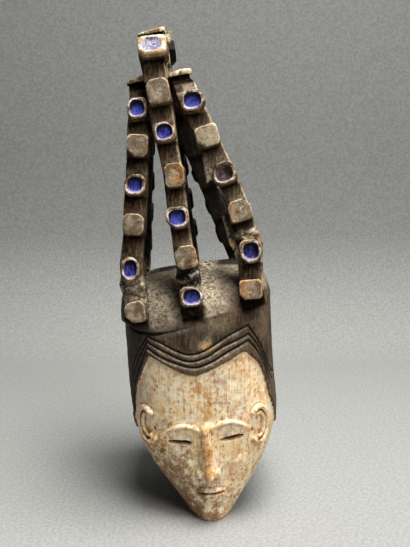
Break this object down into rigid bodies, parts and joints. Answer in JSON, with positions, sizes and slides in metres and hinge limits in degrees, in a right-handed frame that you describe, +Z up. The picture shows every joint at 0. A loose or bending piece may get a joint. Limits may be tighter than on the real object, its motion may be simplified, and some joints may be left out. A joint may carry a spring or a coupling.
{
  "type": "helmet mask",
  "caption": "Hollow carved wooden helmet mask with a pale face and a tall openwork crest of arches set with square pegs, standing on its chin and nape.",
  "frame": {"origin": "centre of the bounding box, on the floor that the mask stands on", "axes": "+Z up along the height, the face looks to -Y, +X to the right as the face is seen"},
  "size_m": [0.1838, 0.2376, 0.5583],
  "materials": {
    "carved_wood": "hand-carved wood, dark brown patina on helmet and crest, worn white kaolin on the face"
  },
  "bodies": {
    "root": {"helmet_mask": "carved_wood"}
  },
  "joints": []
}
